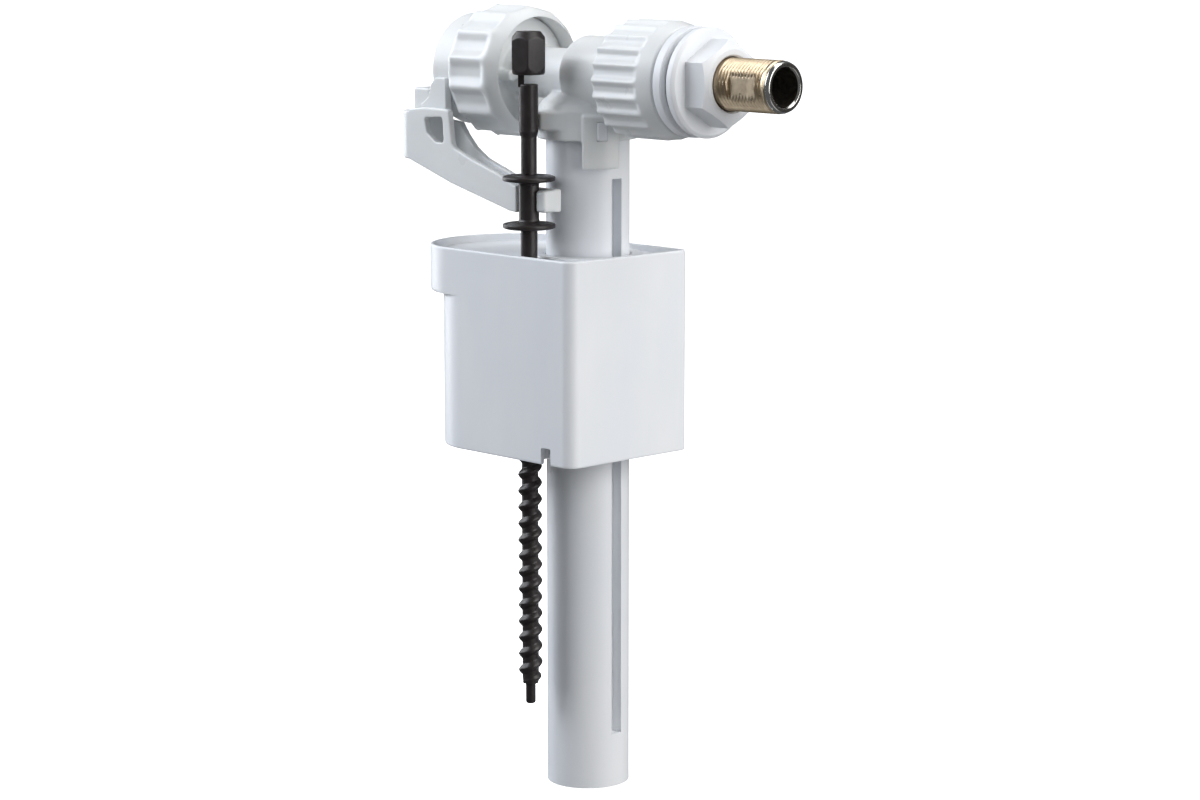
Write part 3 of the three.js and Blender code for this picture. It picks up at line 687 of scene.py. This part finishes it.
def spindle():
    low, high = span("spindle")
    foot = THREAD["top"] - THREAD["pitch"] * THREAD["turns"]
    at = (*SPINDLE_AT, 0)
    head = prism("spindle_skin", "z", polygon(6, HEX["flats"] / math.sqrt(3), HEX["turned_deg"]),
                 HEX["foot"], high.z)
    shift(head, at)
    dome = turned("dome", "z", soft([
        (0, HEX["foot"]), (5, HEX["foot"]), (6.2, HEX["foot"] + 2.6), (6.2, high.z - 3), (3.9, high.z),
        (0, high.z)]), at)
    combine(head, "INTERSECT", dome)
    rounded(head, 0.3, over_deg=20)
    web = block("web", (1.4, -1.3, -3), (3.4, 1.3, 2), 0.2)
    spin(web, HEX["web_deg"])
    shift(web, at)
    shaft = turned("shaft", "z", soft([
        (0, low.z), (1.65, low.z, 0.7), (1.65, foot - 1), (2.4, foot), (2.4, THREAD["top"] + 1),
        (2.75, THREAD["top"] + 6, 3), (2.75, -49.5), (2.2, -49.5), (2.2, -31), (2.6, -31), (2.6, -19, 2),
        (SPINDLE_R, -17.5, 2), (SPINDLE_R, -2, 0.5), (0, -2)]), at, 48)
    fuse(head, web, shaft, helix(foot, at))
    return stand_for(head, "spindle")


def helix(foot, at):
    """A round-crested screw thread: one grid whose radius follows the turn."""
    t = angles(48)
    top = THREAD["top"]
    steps = THREAD["turns"] * 22
    rings = []
    for z in np.linspace(foot - 1, top + 1, steps):
        phase = (z - foot) / THREAD["pitch"] - t / TAU
        off = (phase - np.round(phase)) * THREAD["pitch"]
        bump = THREAD["wire"] * (1 - np.clip(np.abs(off) / THREAD["flank"], 0, 1) ** 1.5)
        fade = ease(z, foot - 1, foot + 2) * (1 - ease(z, top - 2, top + 1))
        radius = THREAD["core"] - 0.15 + (bump + 0.15) * fade
        rings.append(along("z", radius * np.cos(t), radius * np.sin(t), z) + np.array(at))
    return loft("helix", rings, closed=False, sharp_deg=60)


def lever_collar():
    """Two round flanges on one sleeve, each the other's mirror image."""
    low, high = span("lever_collar")
    r = (high.x - low.x) / 2
    bore, disc, sleeve = 2.5, 2.6, 3.3
    flange = [  # radius, height above the flange's outer face, radius of the corner
        (bore, 0, 0.2), (sleeve + 1.2, 0, 1), (r - 1, 0.3, 1), (r, 0.7, 0.5), (r, 1.9, 0.5),
        (r - 1.2, 2.2, 1), (sleeve + 0.2, disc, 0.6), (sleeve, disc + 0.8, 0.5)]
    outline = soft([(a, low.z + rise, corner) for a, rise, corner in flange]
                   + [(a, high.z - rise, corner) for a, rise, corner in flange[::-1]])
    return stand_for(turned("lever_collar_skin", "z", outline, (*SPINDLE_AT, 0), 72), "lever_collar")


# ---------------------------------------------------------------- float

FLOAT = {"low_end": -54, "end_depth": 23, "rim_wall": 1.3, "plate": -60, "lip": -72.9, "wall": 1.5,
         "near_r": 4.2, "far_r": 3.0, "well_r": 6.4, "well_bore": 5.6}
NOTCH = {"x0": 8.6, "x1": 13.2, "height": 5.6}
SLEEVE_R = 16.5
KEY_HALF = 1.7


def float_ring(end, inset, z):
    """The float's outline at a height: square to the inlet side, rounded at the lever side."""
    low, high = span("float")
    right, near, far = high.x - inset, low.y + inset, high.y - inset
    near_r, far_r = max(FLOAT["near_r"] - inset, 0.3), max(FLOAT["far_r"] - inset, 0.3)
    corner = np.linspace(0, math.pi / 2, 9)
    end_turn = np.linspace(math.pi / 2, 3 * math.pi / 2, 41)
    hub = end + FLOAT["end_depth"]
    x = np.concatenate([right - near_r + near_r * np.sin(corner), right - far_r + far_r * np.cos(corner),
                        hub + (FLOAT["end_depth"] - inset) * np.cos(end_turn)])
    y = np.concatenate([near + near_r - near_r * np.cos(corner), far - far_r + far_r * np.sin(corner),
                        (near + far) / 2 + (far - near) / 2 * np.sin(end_turn)])
    return along("z", x, y, z)


def float_body():
    low, high = span("float")
    lip_end, low_end = low.x, FLOAT["low_end"]
    foot, rim, wall, lip = low.z, high.z, FLOAT["wall"], FLOAT["lip"]
    inner, plate = FLOAT["rim_wall"], FLOAT["plate"]
    stations = [  # left end, distance in from the outline, height
        (lip_end, inner + 1.5, plate), (lip_end, inner + 0.4, plate + 0.1), (lip_end, inner, plate + 0.6),
        (lip_end, inner, rim - 0.4), (lip_end, inner - 0.12, rim - 0.12), (lip_end, inner - 0.35, rim),
        (lip_end, 0.55, rim), (lip_end, 0.2, rim - 0.12), (lip_end, 0.04, rim - 0.4),
        (lip_end, 0, rim - 0.8), (lip_end, 0, lip + 1.3), (lip_end + 0.15, 0, lip + 0.6),
        (lip_end + 0.5, 0, lip + 0.15), (lip_end + 1, 0, lip), (low_end - 0.6, 0, lip),
        (low_end, 0, lip - 0.6), (low_end, 0, lip - 1.2),
        (low_end, 0, foot + 0.8), (low_end, 0.05, foot + 0.4), (low_end, 0.2, foot + 0.1),
        (low_end, 0.5, foot), (low_end, wall - 0.3, foot), (low_end, wall, foot + 0.3),
        (low_end, wall, lip - 1), (low_end, wall, lip + wall), (lip_end, wall, lip + wall),
        (lip_end, wall, plate - wall - 0.6), (lip_end, wall + 0.6, plate - wall)]
    shell = loft("float_skin", [float_ring(*s) for s in stations], closed=False)
    at = (*SPINDLE_AT, 0)
    well_bore, well_r, well_top = FLOAT["well_bore"], FLOAT["well_r"], plate - 0.5
    well = turned("well", "z", soft([
        (well_bore, foot, 0.3), (well_r, foot, 0.3), (well_r, well_top), (well_bore, well_top)]), at, 64)
    carve(shell, rod("sleeve_way", "z", SLEEVE_R + GAP, plate - 4, plate + 1, steps=96),
          rod("spindle_way", "z", 4.7, plate - 4, plate + 1, at),
          block("notch", (NOTCH["x0"], low.y - 1, foot - 1),
                (NOTCH["x1"], low.y + wall + 1, foot + NOTCH["height"]), 0.6))
    fuse(shell, well)
    return stand_for(shell, "float")


def float_guide():
    low, high = span("float_guide")
    bore, flange, neck = PIPE_R + 0.7, high.x, high.z - 1.4
    guide = turned("float_guide_skin", "z", soft([
        (bore, low.z, 0.3), (SLEEVE_R, low.z, 0.4), (SLEEVE_R, neck), (flange, neck, 0.3),
        (flange, high.z, 0.5), (bore, high.z, 0.4)]), steps=120)
    key = block("key", (PIPE_R - GROOVE["depth"] + 0.4, -KEY_HALF, low.z),
                (bore + 0.5, KEY_HALF, high.z - 4), 0.3)
    fuse(guide, key)
    return stand_for(guide, "float_guide")


# ---------------------------------------------------------------- inlet side

FLANGE_R = 17.6
HEX_FLATS = 24.1
NIPPLE = {"r": 8.33, "bore": 6.05, "thread_from": 22.5, "thread_to": 2.9, "pitch": 1.337, "depth": 0.8}
WINDOW = {"from": 17.5, "to": 6.5, "off_axis": 7.05}  # milled flat on the -Y side, measured from the end


def inlet_connector():
    low, high = span("inlet_connector")
    face, bore = high.x, NIPPLE["r"] + GAP
    outline = soft([
        (9.9, low.x), (14.6, low.x, 0.3), (14.6, 40.7, 0.3), (10.1, 40.7, 0.5), (10.1, face - 3.6, 0.8),
        (FLANGE_R, face - 3.6, 0.7), (FLANGE_R, face, 0.5), (15.4, face, 0.2), (15.4, face - 0.5, 0.1),
        (bore, face - 0.5), (bore, 39), (9.9, 39)])
    return stand_for(turned("inlet_connector_skin", "x", outline, steps=128), "inlet_connector")


def wall_gasket():
    low, high = span("wall_gasket")
    r, bore = high.z, 8.75
    outline = soft([(bore, low.x, 0.3), (r, low.x, 0.6), (r, high.x, 0.6), (bore, high.x, 0.3)])
    return stand_for(turned("wall_gasket_skin", "x", outline), "wall_gasket")


def counter_nut():
    low, high = span("counter_nut")
    x0, x1 = low.x, high.x
    across, bore = HEX_FLATS / 2, NIPPLE["r"] + 0.4
    flange = turned("counter_nut_skin", "x", soft([
        (0, x0), (FLANGE_R - 0.2, x0, 0.4), (FLANGE_R, x0 + 2.4, 0.6), (FLANGE_R - 1.1, x0 + 3.3, 0.6),
        (0, x0 + 3.3)]), steps=128)
    nut = prism("hex", "x", polygon(6, HEX_FLATS / math.sqrt(3), 30), x0 + 1, x1)
    crown = turned("crown", "x", soft([
        (0, x0), (HEX_FLATS, x0), (HEX_FLATS, x0 + 2), (across + 1.9, x1 - 1.8, 2),
        (across - 1.2, x1, 0.4), (0, x1)]))
    combine(nut, "INTERSECT", crown)
    rounded(nut, 0.4)
    fuse(flange, nut)
    carve(flange, turned("bore", "x", soft([
        (0, x0 - 1), (9.3, x0 - 1), (bore, x0 + 0.5), (bore, x1 - 0.6), (9.6, x1 + 0.4), (0, x1 + 0.4)])))
    return stand_for(flange, "counter_nut")


def round_rings(stations, t):
    return [along("x", r * np.cos(t), r * np.sin(t), x) for r, x in stations]


def brass_nipple():
    low, high = span("brass_nipple")
    x0, x1, collar_r = low.x, high.x, high.z
    r, bore, pitch = NIPPLE["r"], NIPPLE["bore"], NIPPLE["pitch"]
    start, end = x1 - NIPPLE["thread_from"], x1 - NIPPLE["thread_to"]
    t = angles(128)
    facing = -np.cos(t)  # along() puts the first coordinate on Y
    rings = round_rings([(bore, x0), (collar_r - 0.3, x0), (collar_r, x0 + 0.3), (collar_r, x0 + 1.2),
                         (r, x0 + 1.5), (r, start - 1)], t)
    for x in np.arange(start, end, pitch / 12):
        phase = x / pitch - t / TAU
        tooth = np.clip(np.abs(phase - np.round(phase)) * 2 * 1.25 - 0.125, 0, 1)
        fade = ease(x, start, start + 1) * (1 - ease(x, end - 0.6, end))
        radius = r - NIPPLE["depth"] * tooth * fade
        if x1 - WINDOW["from"] < x < x1 - WINDOW["to"]:
            flat = WINDOW["off_axis"] / np.maximum(facing, 0.5)
            radius = np.where(facing > 0.75, np.minimum(radius, flat), radius)
        rings += round_rings([(radius, x)], t)
    rings += round_rings(soft([
        (r, x1 - 2.8), (r, x1 - 2.5, 0.1), (r - 0.9, x1 - 2.2, 0.2), (r - 0.9, x1 - 1.8, 0.2),
        (r - 0.1, x1 - 1.4, 0.3), (r - 0.6, x1, 0.5), (bore + 0.5, x1, 0.3), (bore, x1 - 0.7, 0.2),
        (bore, x1 - 3)]), t)
    nipple = loft("brass_nipple_skin", rings, sharp_deg=50)
    for look in (MATERIALS["brass"], nickel(), painted_shade_bore_wall(), painted_dark_end_face()):
        nipple.data.materials.append(look)
    for face in nipple.data.polygons:
        x, y, z = (face.center - AXIS) / MM
        if math.hypot(y, z) < bore + 0.15:
            # the bore's wall is painted near black as painted shade
            face.material_index = 2  # the bore's wall
        elif face.normal.x > 0.95 and x > x1 - 0.5:
            # the end face is painted near black as a painted dark reflection
            face.material_index = 3  # the end face
        elif x > x1 - 2.3:
            face.material_index = 1  # the plated end ring
    return stand_for(nipple, "brass_nipple")


# ---------------------------------------------------------------- stage

CAMERA_AZIMUTH = 46
AIM_Z = -0.09  # the height that the lights face
CAMERA = {"distance": 1.030, "height": 0.0626, "aside": 0.004, "pitch_deg": 9.38, "lens": 94.3}


def direction(azimuth, elevation=0):
    """Unit vector from the object towards a viewer: 0 is at -Y and 90 at +X."""
    a, e = math.radians(azimuth), math.radians(elevation)
    return Vector((math.sin(a) * math.cos(e), -math.cos(a) * math.cos(e), math.sin(e)))


def add_camera():
    data = bpy.data.cameras.new("camera")
    data.lens = CAMERA["lens"]
    data.sensor_width = 36
    camera = bpy.data.objects.new("camera", data)
    camera.location = AXIS + direction(CAMERA_AZIMUTH) * CAMERA["distance"]
    camera.location += direction(CAMERA_AZIMUTH + 90) * CAMERA["aside"]
    camera.location.z += CAMERA["height"]
    camera.rotation_euler = (math.radians(90 - CAMERA["pitch_deg"]), 0, math.radians(CAMERA_AZIMUTH))
    bpy.context.scene.collection.objects.link(camera)
    bpy.context.scene.camera = camera


def softbox(name, azimuth, elevation, distance, width, height, power, colour=(1, 1, 1)):
    """An area light that faces the object, in degrees, metres and watts."""
    data = bpy.data.lights.new(name, "AREA")
    data.shape = "RECTANGLE"
    data.size, data.size_y = width, height
    data.energy = power
    data.color = colour
    lamp = bpy.data.objects.new(name, data)
    aim = AXIS + Vector((0, 0, AIM_Z))
    lamp.location = aim + direction(azimuth, elevation) * distance
    lamp.rotation_euler = (aim - lamp.location).to_track_quat("-Z", "Y").to_euler()
    bpy.context.scene.collection.objects.link(lamp)


def add_lights():
    softbox("key", 103, 22, 1.1, 0.9, 1.1, 11.6, (1, 0.995, 0.985))
    softbox("side", -42, 32, 1.2, 0.9, 0.9, 12.5, (0.9, 0.94, 1))
    softbox("rim", -84, 14, 1.2, 0.6, 1.1, 6.5, (0.95, 0.97, 1))
    softbox("top", 150, 75, 1.1, 1.0, 0.7, 4.6)
    softbox("bounce", 92, -42, 1.0, 0.9, 0.6, 0.8)
    world = bpy.data.worlds.new("studio")
    world.use_nodes = True
    tree = world.node_tree
    room = tree.nodes["Background"]
    room.inputs["Color"].default_value = (0.95, 0.97, 1, 1)
    path = tree.nodes.new("ShaderNodeLightPath")
    level = tree.nodes.new("ShaderNodeMapRange")  # the room is darker in reflections than as soft fill
    level.inputs["To Min"].default_value = 0.2
    level.inputs["To Max"].default_value = 0.12
    tree.links.new(path.outputs["Is Glossy Ray"], level.inputs["Value"])
    seen = tree.nodes.new("ShaderNodeMapRange")  # and white where the camera sees it past the backdrop
    seen.inputs["To Max"].default_value = 1.1
    tree.links.new(path.outputs["Is Camera Ray"], seen.inputs["Value"])
    tree.links.new(level.outputs["Result"], seen.inputs["To Min"])
    tree.links.new(seen.outputs["Result"], room.inputs["Strength"])
    bpy.context.scene.world = world


def add_floor():
    """A pale floor that sweeps up into a backdrop behind the object."""
    look = Surface("studio_paper", (0.92, 0.93, 0.94), 0.9)
    look.shader.inputs["Emission Color"].default_value = (1, 1, 1, 1)
    look.shader.inputs["Emission Strength"].default_value = 1.1
    look.bump(look.noise(3, 2), 0.05, 0.1)
    foot = CAD_BOX[0].z - 0.0005  # just under the valve
    near, far, bend, top, half_width = -2.5, 2.6, 1.2, 3.0, 3
    profile = [(near, foot)]
    for t in np.linspace(0, math.pi / 2, 17):
        profile.append((far - bend + bend * math.sin(t), foot + bend - bend * math.cos(t)))
    profile.append((far, top))
    across = direction(CAMERA_AZIMUTH + 90)
    away = -direction(CAMERA_AZIMUTH)
    mesh = bpy.data.meshes.new("floor")
    points = [AXIS + away * d + across * side + Vector((0, 0, z))
              for d, z in profile for side in (-half_width, half_width)]
    faces = [(2 * k, 2 * k + 1, 2 * k + 3, 2 * k + 2) for k in range(len(profile) - 1)]
    mesh.from_pydata(points, [], faces)
    mesh.shade_smooth()
    floor = bpy.data.objects.new("floor", mesh)
    mesh.materials.append(look.material)
    bpy.context.scene.collection.objects.link(floor)
    floor.visible_diffuse = False
    floor.visible_glossy = False
    floor.visible_shadow = False


# ---------------------------------------------------------------- the object

for build in (standpipe, valve_head, diaphragm_cap, union_nut, pilot_housing, lever_pin, lever,
              spindle, lever_collar, float_body, float_guide, inlet_connector, wall_gasket,
              counter_nut, brass_nipple):
    build()

for name, node in frame["nodes"].items():
    if not node.hide_render:
        node.data.materials.clear()
        node.data.materials.append(MATERIALS[SLOT[name]])

add_camera()
add_lights()
add_floor()
bpy.context.scene.view_settings.view_transform = "Standard"
